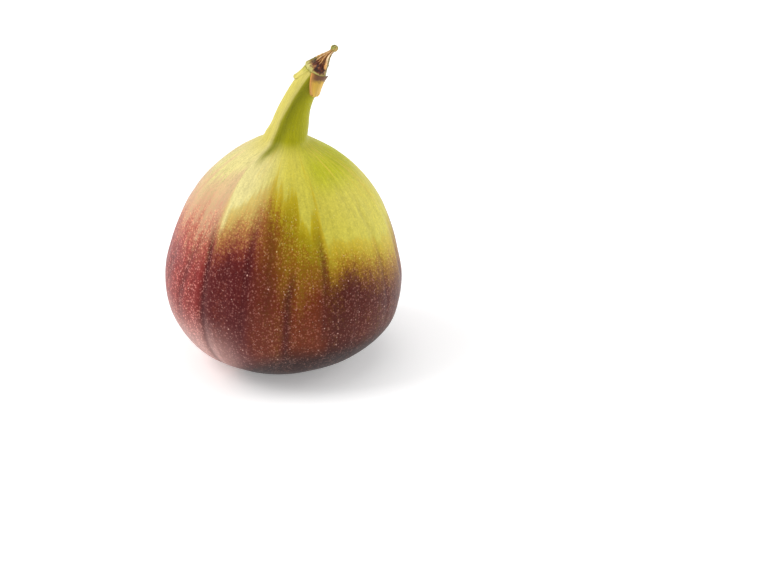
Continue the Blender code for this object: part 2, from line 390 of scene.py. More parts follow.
# The other veins: (path of (height, angle), furrow depth, width in degrees, strength of the stain, lowest
# height, highest height).
FRONT_VEINS = (
    (((10.0, -77.0), (20.0, -75.0), (30.0, -74.0)), 0.08, 4.5, 0.45, 16.0, 31.0),
    (((10.0, -61.0), (18.0, -60.0), (27.0, -57.0), (34.0, -51.0), (42.0, -51.0)), 0.12, 3.0, 0.50, 9.0, 36.0),
    (((0.0, -52.0), (40.0, -50.0)), 0.05, 2.5, 0.25, 16.0, 32.0),
    (((0.0, -31.0), (40.0, -33.0)), 0.08, 2.5, 0.25, 6.0, 36.0),
    (((0.0, -20.0), (16.0, -21.0), (38.0, -20.0)), 0.12, 2.6, 0.60, 10.0, 41.0),
    (((0.0, -10.0), (34.0, -9.0), (43.0, -12.0)), 0.10, 3.5, 0.35, 18.0, 44.0),
    (((0.0, 0.0), (24.0, 1.0), (30.0, 4.0), (39.0, 2.0), (46.0, -3.0)), 0.20, 3.0, 0.90, 7.0, 32.0),
    (((0.0, 18.0), (20.0, 19.0), (31.0, 20.0), (36.0, 18.0), (43.0, 21.0)), 0.12, 2.6, 0.60, 12.0, 40.0),
    (((0.0, 36.0), (25.0, 38.0), (45.0, 40.0)), 0.09, 3.0, 0.15, 8.0, 34.0),
    (((0.0, 60.0), (30.0, 58.0), (38.0, 55.0), (44.0, 59.0), (48.7, 69.0)), 0.13, 2.0, 0.40, 14.0, 48.0),
)
BACK_VEINS = (80, 98, 117, 135, 158, 176, 197, 218, 236, 257, 274)  # angles
SWELL = 0.35  # how much of a furrow's depth its shoulders give back

# Where the skin starts to ripen and where it is ripe, round the fig: (angle, first height, last height).
RIPENING = (
    (-180, 42, 26), (-150, 43, 24), (-120, 44, 27), (-90, 43, 23), (-75, 44, 24), (-60, 46, 25),
    (-50, 46, 24), (-44, 43, 25), (-38, 42, 25), (-32, 43, 29), (-26, 44, 28), (-20, 46, 29),
    (-14, 46, 25), (-6, 46, 24), (0, 45, 20), (6, 44, 18), (14, 40, 21), (19, 42, 22), (23, 36, 24),
    (32, 36, 24), (40, 35, 23), (50, 36, 20), (60, 33, 20), (75, 34, 18), (100, 38, 24), (125, 38, 20),
    (150, 43, 26), (180, 42, 26),
)

# How the skin colours as it ripens, as (ripeness, screen colour): olive, except on the sides that follow.
OLIVE = (
    (0.00, (200, 187, 66)), (0.12, (186, 165, 22)), (0.24, (166, 143, 0)), (0.48, (147, 104, 0)),
    (0.72, (133, 76, 2)), (0.96, (110, 40, 0)),
)
# Each side: its name, where it lies as (first angle, last angle, softness of its edges), and its colours.
SIDES = (
    ("brown side", ((-30.0, -3.0, 10.0), (84.0, 150.0, 14.0)), (
        (0.00, (201, 186, 72)), (0.18, (180, 154, 20)), (0.32, (146, 102, 0)), (0.45, (132, 80, 0)),
        (0.60, (127, 70, 8)), (0.76, (114, 54, 6)), (1.00, (104, 38, 16)),
    )),
    ("dark side", ((-150.0, -16.0, 12.0), (140.0, 215.0, 20.0)), (
        (0.00, (208, 192, 108)), (0.20, (201, 170, 86)), (0.36, (180, 130, 64)), (0.52, (160, 98, 52)),
        (0.66, (134, 62, 38)), (0.82, (106, 30, 22)), (1.00, (84, 12, 14)),
    )),
    ("red side", ((-128.0, -45.0, 12.0),), (
        (0.00, (214, 194, 136)), (0.20, (210, 177, 130)), (0.35, (206, 162, 124)), (0.50, (200, 143, 112)),
        (0.65, (184, 108, 84)), (0.80, (162, 70, 58)), (1.00, (141, 40, 36)),
    )),
    ("right side", ((20.5, 84.0, 6.0),), (
        (0.00, (203, 187, 62)), (0.25, (194, 167, 34)), (0.50, (160, 115, 2)), (0.75, (112, 60, 0)),
        (1.00, (78, 16, 0)),
    )),
)
# The pale green of the upper -X side is partly paler skin and partly a painted highlight from the light on
# that side.
SHOULDER_GREEN, BRIGHT_GREEN, PALE_GREEN_AND_HIGHLIGHT = (205, 194, 72), (182, 182, 24), (220, 207, 136)
NECK_GREEN, DEEP_NECK_GREEN = (206, 193, 92), (168, 165, 0)
# The crest colour is a painted highlight along the crest's lit -X side.
# The groove colour is partly the neck's dark green and partly painted shade in the groove.
CREST_HIGHLIGHT_COLOUR, GROOVE_GREEN_AND_SHADE = (226, 214, 144), (126, 126, 0)
# The under colour, near black, is painted shade under the fig and low on its sides, where it meets the floor.
VEIN_COLOUR, UNDERSIDE_SHADE_COLOUR, EYE_COLOUR = (70, 6, 10), (30, 0, 0), (96, 52, 40)
# The bloom colour is the pale waxy bloom low on the -X side, with a painted sheen of reflected light on it.
BLOOM_AND_SHEEN_COLOUR = (197, 154, 146)
# These colours are for the pale pores, and for the pebbles' pale tops, which are partly painted glints.
PORE_AND_GLINT_COLOURS = ((0.2, (240, 234, 160)), (0.5, (238, 206, 140)), (0.8, (236, 186, 170)))
SKIN_ROUGHNESS = 0.44

FULL_RIB_RADIUS = 0.45 * BODY_RADIUS  # thinner sections have ribs that are lower in proportion
EYE_FOLDS = 11  # low puckers round the eye
EYE_FOLD_RISE = 0.12 * MM

# ---------------------------------------------------------------- the body


def side_share(degrees, spans):
    """1 between each span's first and last angle, and 0 elsewhere, with a soft step at both."""
    share = 0.0 * degrees
    for first, last, soft in spans:
        for turn in (-360.0, 0.0, 360.0):
            rise = eased(degrees + turn, first - 0.5 * soft, first + 0.5 * soft)
            fall = eased(degrees + turn, last + 0.5 * soft, last - 0.5 * soft)
            share = np.maximum(share, rise * fall)
    return share


def back_veins():
    """Rows like the front's for the veins round the back: sines of their number make each one different."""
    rows = []
    for k, middle in enumerate(BACK_VEINS):
        drift = 3.0 * math.sin(2.3 * k)
        path = ((0.0, middle + drift), (28.0, middle), (46.0, middle - drift))
        depth = 0.12 + 0.05 * math.sin(1.7 * k)
        stain = 0.45 + 0.35 * math.sin(2.9 * k)
        highest = 40.0 + 4.0 * math.sin(k)
        rows.append((path, depth, 2.8, stain, 6.0, highest))
    return tuple(rows)


def vein_fields(angle, height):
    """The relief of the crest, groove, valley and veins, and the masks that colour them.

    Each vein is a bell across its path. A furrow takes its depth from the skin, and its shoulders give a
    little of that back, as where a rib swells beside it.
    """
    level = height / MM
    crest_away = turned_from(angle, along_heights(CREST_PATH, height))
    crest = bell(crest_away / along_heights(CREST_WIDTH, height))
    groove_away = (crest_away - along_heights(GROOVE_OFFSET, height)) / along_heights(GROOVE_WIDTH, height)
    groove = bell(np.where(groove_away > 0.0, GROOVE_FAR_SIDE * groove_away, groove_away))
    relief = crest * along_heights(CREST_RISE, height) - groove * along_heights(GROOVE_DEPTH, height)
    valley_away = turned_from(angle, along_heights(VALLEY_PATH, height)) / along_heights(VALLEY_WIDTH, height)
    valley = bell(valley_away) - SWELL * bell(valley_away / 2.6)
    relief = relief - valley * along_heights(VALLEY_DEPTH, height)
    stain = bell(valley_away / 0.6) * eased(level, 38.0, 30.0)
    for path, depth, width, colour, low, high in FRONT_VEINS + back_veins():
        away = turned_from(angle, along_heights(path, height)) / width
        shown = eased(level, low - 4.0, low + 4.0) * eased(level, high + 6.0, high - 4.0)
        relief = relief - depth * shown * (bell(away) - SWELL * bell(away / 2.4))
        inked = eased(level, low, low + 6.0) * eased(level, high, high - 8.0)
        stain = np.maximum(stain, colour * inked * bell(away / 0.75))
    return relief * MM, stain, crest, groove


def rib_relief(angle, height):
    """Low unevenness of the skin: soft ribs and lumps all round, and fine fibres that stand out on the neck.

    Each is a sum of sines round the fig, most of which drift sideways with the height.
    """
    level = height / MM
    degrees = np.degrees(angle)
    ribs = 0.05 * np.sin(angle * 5.0 + 0.8) + 0.04 * np.sin(angle * 9.0 + 2.1 + level / 30.0)
    fibres = np.sin(angle * 41.0 + 0.9 * np.sin(angle * 7.0) + level / 9.0)
    fibres = fibres + 0.8 * np.sin(angle * 67.0 + 1.7 * np.sin(angle * 5.0) - level / 14.0)
    fibres = fibres + 0.6 * np.sin(angle * 97.0 + 1.1 * np.sin(angle * 3.0))
    lumps = 0.03 * np.sin(degrees * 0.23 + level / 2.1) * np.sin(degrees * 0.11 - level / 3.7 + 1.0)
    near_neck = eased(level, 38.0, 50.0)
    relief = ribs * (1.0 - 0.7 * near_neck) + fibres * (0.006 + 0.022 * near_neck) + lumps
    return relief * eased(level, 0.0, 8.0) * MM


def skin_masks(angle, height):
    """What colours the skin, 0 to 1 at each point: its ripeness, and the zones with a look of their own."""
    degrees = np.degrees(angle)
    level = height / MM
    angles, first_levels, last_levels = np.array(RIPENING, float).T
    first = np.interp(degrees, angles, first_levels)
    last = np.interp(degrees, angles, last_levels)
    crest_away = turned_from(angle, along_heights(CREST_PATH, height))
    neck = eased(level, 46.5, 51.0)
    # Painted shade darkens the body below this height, which rises towards +X.
    shade_top_level = np.clip(14.5 + 0.25 * degrees, 3.5, 15.0)
    masks = {
        "ripeness": np.clip((first - level) / (first - last), 0.0, 1.0),
        # The -X side, partly paler skin and partly a painted highlight.
        "pale and lit side": eased(degrees, 2.0, -40.0) * eased(degrees, -190.0, -130.0),
        "high side": eased(level, 41.0, 46.0) * eased(degrees, 5.0, 40.0),
        # The waxy bloom low on the -X side, with a painted sheen of reflected light.
        "bloom_and_sheen": eased(degrees, -14.0, -44.0) * eased(degrees, -150.0, -110.0) * eased(level, 18.5, 6.5),
        # Painted shade under the fig and low on its sides, where it meets the floor.
        "under": eased(level - shade_top_level, 0.0, -7.0) * eased(degrees, 170.0, 130.0),
        "neck": neck,
        "deep neck": neck * eased(crest_away, 1.0, 9.0) * eased(degrees, 150.0, 110.0),
        # The crest's lit -X side, to which its painted highlight is kept.
        "lit side of crest": eased(crest_away, 8.0, 1.0),
    }
    for name, spans, _ in SIDES:
        masks[name] = side_share(degrees, spans)
    return masks


def body_grid():
    """The whole fruit's surface, and the fields that its skin reads.

    A point of the body stands off the spine by the outline's radius at its height, plus the relief of the
    veins and ribs. The underside turns in from the ring that the fig stands on to the eye's closed end.
    """
    angle = np.linspace(-math.pi, math.pi, ROUND_STEPS, endpoint=False)[None, :]
    height, radius = outline_heights[:, None], outline_radii[:, None]
    relief, stain, crest, groove = vein_fields(angle, height)
    relief = relief + rib_relief(angle, height) * np.minimum(radius / FULL_RIB_RADIUS, 1.0)
    upper = place(angle, height, radius + relief)
    under = curve_through(np.array(UNDERSIDE) * MM, UNDER_ROWS + 1)[:-1]
    under_height, under_radius = under[:, :1], under[:, 1:]
    folds = EYE_FOLD_RISE * np.sin(EYE_FOLDS * angle) * bell((under_radius - 3.6 * MM) / (1.8 * MM))
    floor_or_above = np.maximum(under_height + folds, 0.0)
    lower = FOOT + vectors(under_radius * np.sin(angle), -under_radius * np.cos(angle), floor_or_above)
    grid = np.concatenate([lower, upper])
    steps = np.linalg.norm(np.diff(grid, axis=0), axis=-1).mean(axis=1)
    length = np.concatenate([[0.0], np.cumsum(steps)])[:, None]
    fields = skin_masks(angle, np.concatenate([0.0 * under_height, height]))
    fields["pattern"] = vectors(BODY_RADIUS * np.sin(angle), -BODY_RADIUS * np.cos(angle), length)
    level = height / MM
    crest_shows = eased(level, 34.0, 37.0) * (1.0 - 0.7 * eased(level, 47.0, 52.0))
    on_body = {"stain": stain, "crest": crest * crest_shows, "groove": groove * eased(level, 45.5, 49.0)}
    for name, mask in on_body.items():
        fields[name] = np.pad(mask, ((UNDER_ROWS, 0), (0, 0)))
    # The crest's painted highlight lies on its lit -X side only.
    fields["crest"] = fields["crest"] * fields.pop("lit side of crest")
    fields["eye"] = np.concatenate([bell((under_radius - 1.0 * MM) / (3.4 * MM)), 0.0 * height])
    return grid, fields


def skin_ground(wire, ripe, bloom_and_sheen):
    """The skin's colour before its grain and pores: the sides' ripening colours, and what lies over them."""
    colour = wire.ramp(ripe, OLIVE)
    for name, _, stops in SIDES:
        colour = wire.blend(wire.field(name), colour, wire.ramp(ripe, stops))
    unripe = wire.paint(wire.field("high side"), linear(*SHOULDER_GREEN), BRIGHT_GREEN)
    # Paler skin with a painted highlight on the upper -X side.
    unripe = wire.paint(wire.field("pale and lit side"), unripe, PALE_GREEN_AND_HIGHLIGHT)
    colour = wire.blend(wire.spread(ripe, 0.02, 0.12, 1.0, 0.0), colour, unripe)
    dark_vein = wire.times(wire.field("stain"), wire.spread(ripe, 0.0, 0.6, 0.35, 0.85))
    colour = wire.paint(dark_vein, colour, VEIN_COLOUR)
    # The waxy bloom, with a painted sheen of reflected light.
    colour = wire.paint(bloom_and_sheen, colour, BLOOM_AND_SHEEN_COLOUR)
    # Painted shade under the fig and low on its sides.
    colour = wire.paint(wire.times(wire.field("under"), 0.95), colour, UNDERSIDE_SHADE_COLOUR)
    neck_colour = wire.paint(wire.field("deep neck"), linear(*NECK_GREEN), DEEP_NECK_GREEN)
    colour = wire.blend(wire.times(wire.field("neck"), 0.95), colour, neck_colour)
    # A painted highlight along the crest's lit -X side.
    colour = wire.paint(wire.times(wire.field("crest"), 0.75), colour, CREST_HIGHLIGHT_COLOUR)
    # The neck's dark green with painted shade in the groove.
    return wire.paint(wire.times(wire.field("groove"), 0.92), colour, GROOVE_GREEN_AND_SHADE)


def skin_material():
    """Ripe fig skin: yellow-green above, through ochre and brown or peach and red, to dark purple below.

    Streaks along the skin break the edge between the colours, veins are stained, pebbles stipple the ripe
    parts with painted glints, and pale pores stand out. Painted highlights, sheen and shade lie in the
    colours too.
    """
    made, wire, shader = new_material("fig skin", SKIN_ROUGHNESS)
    shader["Sheen Weight"].default_value = 0.03
    shader["Specular IOR Level"].default_value = 0.16
    pattern = wire.field("pattern", "Vector")
    fibres = wire.fibres(pattern, 1300.0)
    fingers = wire.noise(wire.stretch(pattern, (1.0, 1.0, 0.25)), 210.0, 3.0, 0.55)
    columns = wire.noise(wire.stretch(pattern, (1.0, 1.0, 0.05)), 700.0, 2.0)
    patches = wire.noise(pattern, 120.0, 2.0)
    grain = wire.noise(wire.stretch(pattern, (0.85, 0.85, 1.2)), 2100.0, 1.0, 0.6)
    coarse_grain = wire.noise(pattern, 800.0, 2.0, 0.6)
    pebbles = wire.pores(pattern, 2500.0, 0.60)
    small_pores = wire.pores(pattern, 1500.0, 0.21)
    big_pores = wire.pores(pattern, 800.0, 0.14)
    neck = wire.field("neck")

    # The edge between the colours wanders in fingers and columns, and its grain grows with the ripeness.
    ripe = wire.plus(wire.field("ripeness"), wire.sway(fingers, 0.08))
    ripe = wire.plus(ripe, wire.sway(columns, 0.05))
    coarse = wire.sway(coarse_grain, 0.05, band=GRAIN_BAND)
    broken = wire.plus(coarse, wire.sway(grain, 0.08, band=GRAIN_BAND))
    broken = wire.times(broken, wire.spread(ripe, 0.05, 0.4, 0.1, 1.0))
    ripe = wire.maths("ADD", ripe, broken, clamp=True)

    # The waxy bloom and its painted sheen of reflected light are patchy, and thinner over the veins.
    bloom_and_sheen_noise = wire.plus(wire.times(patches, 0.6), wire.times(columns, 0.4))
    bloom_and_sheen = wire.times(wire.field("bloom_and_sheen"), wire.sway(bloom_and_sheen_noise, 0.125, 0.875))
    bloom_and_sheen = wire.times(bloom_and_sheen, wire.spread(wire.field("stain"), 0.0, 1.0, 1.0, 0.45))
    colour = skin_ground(wire, ripe, bloom_and_sheen)

    # The pebbles and their painted glints show most on the ripe red side, less under the bloom and its
    # painted sheen, and not on the neck.
    red_stipple = wire.times(wire.field("red side"), wire.spread(ripe, 0.3, 0.95, -0.6, 1.4))
    stippled = wire.plus(wire.spread(ripe, 0.05, 0.5, 0.14, 1.0), red_stipple)
    stippled = wire.times(stippled, wire.spread(wire.field("bloom_and_sheen"), 0.0, 1.0, 1.0, 0.6))
    stippled = wire.times(stippled, wire.minus(1.0, neck))

    # Grain, columns, fibres, patches and pebbles each make the colour a little lighter or darker. The
    # pebbles lighten it partly as painted glints.
    tone = wire.plus(wire.sway(grain, 0.06, band=GRAIN_BAND), coarse)
    tone = wire.plus(tone, wire.times(wire.minus(columns, 0.5), 0.35))
    fibrous = wire.plus(wire.times(neck, 0.2), wire.spread(ripe, 0.0, 0.3, 0.26, 0.1))
    tone = wire.plus(tone, wire.times(wire.minus(fibres, 0.5), fibrous))
    tone = wire.plus(tone, wire.sway(patches, 0.03, 1.0))
    tone = wire.plus(tone, wire.times(wire.spread(pebbles, 0.0, 0.4, -0.08, 0.30), stippled))
    colour = wire.shade(colour, tone)

    pore_and_glint_colour = wire.ramp(ripe, PORE_AND_GLINT_COLOURS)
    # The pebbles' pale tops, partly painted glints of light.
    colour = wire.blend(wire.times(pebbles, wire.times(stippled, 0.17)), colour, pore_and_glint_colour)
    dots = wire.maths("MAXIMUM", big_pores, wire.times(small_pores, 0.5))
    colour = wire.blend(wire.times(dots, wire.spread(ripe, 0.15, 0.55, 0.4, 0.9)), colour, pore_and_glint_colour)
    colour = wire.paint(wire.times(wire.field("eye"), 0.8), colour, EYE_COLOUR)

    height = wire.times(fibres, wire.plus(wire.times(neck, 0.4), 0.1))
    height = wire.plus(height, wire.times(pebbles, wire.times(stippled, 0.5)))
    height = wire.plus(height, wire.times(dots, 0.45))
    roughness = wire.sway(patches, 0.04, SKIN_ROUGHNESS)
    connect(wire, shader, colour, roughness, height, depth=0.06 * MM, strength=0.8)
    return made


def make_body():
    """The fruit with its neck, as one piece."""
    grid, fields = body_grid()
    piece = surface("fig_body", grid, skin_material(), fields)
    fit_piece(piece, "fruit")


# ---------------------------------------------------------------- the stem stub

# The stub's sections, from the neck's end to the knob: (way along the stem, sideways shift, radius).
STUB = (
    (-0.15, -0.20, 1.90), (0.0, -0.25, 2.30), (0.7, -0.30, 2.42), (1.9, -0.22, 2.02), (3.0, -0.18, 1.58),
    (4.0, -0.14, 1.10), (4.7, -0.06, 0.80), (5.3, 0.06, 0.58), (5.8, 0.16, 0.54), (6.25, 0.22, 0.74),
    (6.75, 0.25, 0.76), (7.15, 0.25, 0.46),
)
STUB_ROWS, STUB_STEPS = 170, 200
# The dry ridges that run up the stub: (angle at the foot, angle at the knob, height, width in degrees).
STUB_RIDGES = (
    (-128, -110, 0.16, 10), (-98, -88, 0.18, 9), (-72, -64, 0.12, 6), (-50, -52, 0.22, 5),
    (-34, -40, 0.12, 4), (-14, -28, 0.20, 4), (6, -14, 0.10, 3), (36, 8, 0.40, 7), (108, 92, 0.16, 12),
    (150, 140, 0.2, 14), (-160, -150, 0.18, 14),
)
RIDGE_UNIT = 0.26  # a ridge this high, as a share of the radius, counts as 1 for the finish
# The stub's colours up its length, as (way up, screen colour), and the knob's, as (noise, screen colour).
STUB_GROUND = (
    (0.00, (178, 172, 84)), (0.11, (204, 194, 112)), (0.15, (158, 122, 58)), (0.19, (112, 50, 22)),
    (0.34, (104, 44, 18)), (0.42, (150, 92, 42)), (0.78, (166, 112, 54)), (0.90, (142, 134, 56)),
)
KNOB_COLOURS = ((0.36, (62, 40, 12)), (0.44, (128, 130, 40)), (0.54, (150, 152, 58)), (0.60, (214, 172, 104)))
# The shaded green is painted shade on the lip's +X side.
SHADED_GREEN, OLIVE_STRIP = (128, 104, 44), (150, 140, 34)
# The dark groove colour is painted shade in the grooves between the ridges.
DARK_SPOT, PALE_SPOT, GROOVE_SHADE_COLOUR = (40, 12, 6), (196, 140, 84), (72, 30, 10)
# The pale fleck colour is a painted highlight on the ridges.
TAN_RIDGE, RIDGE_HIGHLIGHT_FLECK = (222, 168, 100), (255, 232, 190)
STUB_ROUGHNESS = 0.54


def ring_frame():
    """The middle of the neck's end, and three directions: along the stem, sideways and to the front."""
    middle, tip = spine(RING_HEIGHT)
    tip = float(tip)
    along = np.array([math.sin(tip), 0.0, math.cos(tip)])
    side = np.array([math.cos(tip), 0.0, -math.sin(tip)])
    return FOOT + np.array([float(middle), 0.0, RING_HEIGHT]), along, side, np.array([0.0, -1.0, 0.0])


def stub_grid():
    """The stub and its fields: rings carried along the stem, drawn in between dry ridges that lean round it.

    A ridge is a bell across its path. The lip at the foot is a bell over the way up, and the knob has dents.
    """
    middle, along, side, front = ring_frame()
    sections = curve_through(np.array(STUB) * MM, STUB_ROWS)
    way, shift, radius = (sections[:, k : k + 1] for k in range(3))
    share = np.clip(way / way[-1], 0.0, 1.0)
    angle = np.linspace(-math.pi, math.pi, STUB_STEPS, endpoint=False)[None, :]
    ridges = np.zeros((STUB_ROWS, STUB_STEPS))
    for low, high, rise, width in STUB_RIDGES:
        path = low + (high - low) * share + 5.0 * np.sin(9.0 * share + low)
        across = turned_from(angle, path) / (width * (1.0 + 1.2 * share))
        ridges = np.maximum(ridges, rise / RIDGE_UNIT * bell(across))
    folded = eased(share, 0.14, 0.36) * eased(share, 0.90, 0.78)
    crinkle = 0.05 * np.sin(13.0 * angle + 14.0 * share) * np.sin(31.0 * share + 3.0 * np.sin(angle))
    lip = 0.05 * bell((share - 0.07) / 0.045)
    on_knob = eased(share, 0.82, 0.88) * eased(share, 1.0, 11.0 / 12.0)
    dents = 0.09 * np.sin(3.0 * angle + 1.0 + 20.0 * share) * on_knob
    out = radius * (1.0 + folded * (RIDGE_UNIT * ridges - 0.20 + crinkle) + lip + dents)
    centre = middle + along * (way + GAP)[..., None] + side * shift[..., None]
    grid = centre + (out * np.sin(angle))[..., None] * side + (out * np.cos(angle))[..., None] * front
    fields = {
        "pattern": vectors(2.0 * MM * np.sin(angle), 2.0 * MM * np.cos(angle), way),
        "share": share,
        "ridge": ridges * folded,
        "shaded": eased(turned_from(angle, 0.0), 5.0, 45.0),
        "living": bell(turned_from(angle, 76.0) / 24.0) + 0.7 * bell(turned_from(angle, -104.0) / 34.0),
    }
    return grid, fields


def stub_material():
    """Dry stem: a pale green lip, a dark band, tan ridges with painted shade between, and olive strips and
    knob.
    """
    made, wire, shader = new_material("dry stem", STUB_ROUGHNESS)
    pattern = wire.field("pattern", "Vector")
    fibres = wire.fibres(pattern, 2600.0)
    uneven = wire.noise(pattern, 700.0, 3.0, 0.6)
    mottle = wire.noise(wire.stretch(pattern, (1.0, 1.0, 0.6)), 1900.0, 2.0, 0.6)

    # The ground colours, whose borders wander, and painted shade on the lip's +X side.
    share = wire.plus(wire.field("share"), wire.sway(uneven, 0.07))
    colour = wire.ramp(share, STUB_GROUND)
    shaded = wire.times(wire.field("shaded"), wire.spread(share, 0.18, 0.10, 0.0, 0.75))
    colour = wire.paint(shaded, colour, SHADED_GREEN)

    # Dark and pale spots in the dark band over the lip.
    band = wire.times(wire.spread(share, 0.14, 0.19), wire.spread(share, 0.34, 0.44, 1.0, 0.0))
    dark_spots = wire.times(band, wire.spread(mottle, 0.44, 0.58))
    pale_spots = wire.times(band, wire.spread(mottle, 0.42, 0.32))
    colour = wire.paint(wire.times(dark_spots, 0.85), colour, DARK_SPOT)
    colour = wire.paint(wire.times(pale_spots, 0.5), colour, PALE_SPOT)

    # Painted shade in the grooves, the strips that are still olive, and the tan ridges with painted highlights
    # as pale flecks.
    groove = wire.times(wire.spread(share, 0.32, 0.42), wire.spread(wire.field("ridge"), 0.30, 0.05))
    colour = wire.paint(wire.times(groove, 0.75), colour, GROOVE_SHADE_COLOUR)
    living = wire.times(wire.field("living"), wire.spread(share, 0.02, 0.12))
    living = wire.times(living, wire.sway(uneven, 0.15, 0.85))
    colour = wire.paint(living, colour, OLIVE_STRIP)
    ridge = wire.times(wire.field("ridge"), wire.spread(share, 0.30, 0.42))
    ridge = wire.times(ridge, wire.spread(fibres, 0.25, 0.7, 0.7, 1.1))
    colour = wire.paint(wire.spread(ridge, 0.25, 0.75), colour, TAN_RIDGE)
    # Painted highlights, as pale flecks on the highest ridges.
    highlight_flecks = wire.times(wire.spread(ridge, 0.45, 0.9), wire.spread(mottle, 0.46, 0.58, 0.0, 0.9))
    colour = wire.paint(highlight_flecks, colour, RIDGE_HIGHLIGHT_FLECK)

    knob = wire.spread(wire.field("share"), 0.82, 0.88)
    colour = wire.blend(knob, colour, wire.ramp(uneven, KNOB_COLOURS))
    colour = wire.shade(colour, wire.sway(fibres, 0.20, 0.98))
    height = wire.plus(fibres, wire.times(mottle, 0.8))
    roughness = wire.sway(uneven, 0.12, STUB_ROUGHNESS)
    connect(wire, shader, colour, roughness, height, depth=0.12 * MM, strength=0.9)
    return made


def make_stub():
    """The shrivelled stub at the neck's end, with its hooked knob."""
    grid, fields = stub_grid()
    piece = surface("stem_stub_dry", grid, stub_material(), fields)
    fit_piece(piece, "stem_stub")


# ---------------------------------------------------------------- the bracts

# Each bract: its CAD node and slot, and the angles round the neck at its root and at its tip. Then, in mm, how
# far above the neck's end it starts, its length, its half width at the root and at the tip, how far its tip
# stands off, its thickness, and the height of the bead along its left edge.
Bract = namedtuple(
    "Bract", "node slot root_angle tip_angle rise length root_half tip_half stand_off thick bead"
)
BRACTS = (
    Bract("bract_left", "green_bract", -82.0, -92.0, 0.0, 2.8, 1.7, 0.90, 0.60, 0.09, 0.0),
    Bract("bract_right", "dry_bract", 27.0, 58.0, 0.5, 3.9, 2.3, 1.9, 0.50, 0.14, 0.40),
    Bract("bract_back", "green_bract", 176.0, 184.0, 0.0, 2.8, 1.9, 0.6, 0.30, 0.14, 0.0),
)
RAGGED = 0.03  # how far a bract's end is notched, as a share of its length
BRACT_ROWS, BRACT_STEPS = 70, 96


def leaf_parameters(rows, steps):
    """A thin closed leaf's grid: the way across, -1 to 1, the way down, 0 to 1, and the side, -1 to 1.

    Going once round a section, across is the cosine and the side is the sine, so the leaf's rim is round.
    """
    turn = np.linspace(0.0, 2.0 * math.pi, steps, endpoint=False)[None, :]
    across, down = np.broadcast_arrays(np.cos(turn), np.linspace(0.0, 1.0, rows)[:, None])
    return across, down, np.sin(turn)


def bract_points(bract, across, down, lift):
    """A bract hangs over the neck from its end, narrows towards its tip, lifts off, and has a ragged end.

    A point stands over the neck's outline by its lift in the leaf, a curl that grows with the cube of the way
    to either edge, and a lift-off that grows with the square of the way down.
    """
    notch = RAGGED * (np.sin(17.0 * across) + 0.6 * np.sin(41.0 * across + 1.0)) * down**3
    start = RING_HEIGHT + bract.rise * (1.0 + 0.7 * across) * MM
    height = start - bract.length * MM * (down * (1.0 - 0.15 * across**2) + notch)
    radius = np.interp(height, outline_heights, outline_radii)
    half = (bract.root_half + (bract.tip_half - bract.root_half) * down**1.2) * MM
    middle = np.radians(bract.root_angle + (bract.tip_angle - bract.root_angle) * down)
    base = (0.06 + 0.22 * bract.bead) * MM
    curl = 0.5 * bract.bead * MM * down * np.abs(across) ** 3
    crumple = 0.06 * np.sin(6.0 * across + 5.0 * down) * down
    more_on_left = 0.5 + bract.bead - (0.5 - bract.bead) * across
    away = (bract.stand_off + crumple) * MM * down**2 * more_on_left
    return place(middle + across * half / radius, height, radius + base + lift + curl + away)


def bract_material(name, root, body, edge, roughness):
    """A thin papery scale: darker at its root, fibrous along its length, with its own colour at the edges."""
    made, wire, shader = new_material(name, roughness)
    pattern = wire.field("pattern", "Vector")
    fibres = wire.fibres(pattern, 2200.0)
    uneven = wire.noise(pattern, 600.0, 3.0, 0.6)
    down = wire.plus(wire.field("down"), wire.sway(uneven, 0.12))
    colour = wire.ramp(down, ((0.10, root), (0.36, body), (1.0, body)))
    colour = wire.paint(wire.field("edge"), colour, edge)
    colour = wire.shade(colour, wire.sway(fibres, 0.15, 1.0))
    connect(wire, shader, colour, wire.sway(uneven, 0.08, roughness), fibres, depth=0.08 * MM, strength=0.7)
    return made


def make_bracts():
    """The three basal bracts at the neck's end."""
    finishes = {
        "green_bract": bract_material("green bract", (184, 176, 66), (208, 194, 92), (222, 208, 128), 0.5),
        "dry_bract": bract_material("dry bract", (104, 58, 6), (206, 164, 40), (214, 148, 72), 0.42),
    }
    # A bract hangs downwards, so its sections are run the other way round, and its faces point outwards.
    across, down, side = (values[:, ::-1] for values in leaf_parameters(BRACT_ROWS, BRACT_STEPS))
    for bract in BRACTS:
        thickness = (bract.thick + bract.bead * bell((across + 0.95) / 0.16)) * MM
        grid = bract_points(bract, across, down, 0.5 * thickness * side)
        fields = {
            "pattern": vectors(across * bract.root_half * MM, 0.0, down * bract.length * MM),
            "down": down,
            "edge": bell((across + 1.0) / 0.28) * (1.0 if bract.bead else 0.3),
        }
        piece = surface(bract.node + "_leaf", grid, finishes[bract.slot], fields)
        fit_piece(piece, bract.node)


# ---------------------------------------------------------------- the eye

# The eye's two rings of scales. The radii and heights of their roots and tips are in mm.
Ring = namedtuple("Ring", "name count first_angle root tip root_height tip_height")
SCALE_RINGS = (
    Ring("outer", 6, 10.0, 3.55, 0.9, 0.95, 0.42),
    Ring("inner", 5, 34.0, 2.35, 0.35, 1.85, 1.35),
)
SCALE_THICKNESS = 0.26 * MM  # at the root, and half of it at the tip
SCALE_ROWS, SCALE_STEPS = 36, 40


def scale_points(ring, middle_angle, half_sector, across, down, lift):
    """An eye scale: it runs from the eye's lip in towards the middle, arches down, and narrows to a point."""
    radius = (ring.root + (ring.tip - ring.root) * down) * MM
    half = half_sector * ring.root * MM * (1.0 - 0.86 * down**1.7)
    angle = middle_angle + across * half / radius
    arch = 0.28 * MM * np.sin(math.pi * down) * (1.0 - 0.8 * across**2)
    height = (ring.root_height + (ring.tip_height - ring.root_height) * down) * MM - arch + lift
    return FOOT + vectors(radius * np.sin(angle), -radius * np.cos(angle), height)


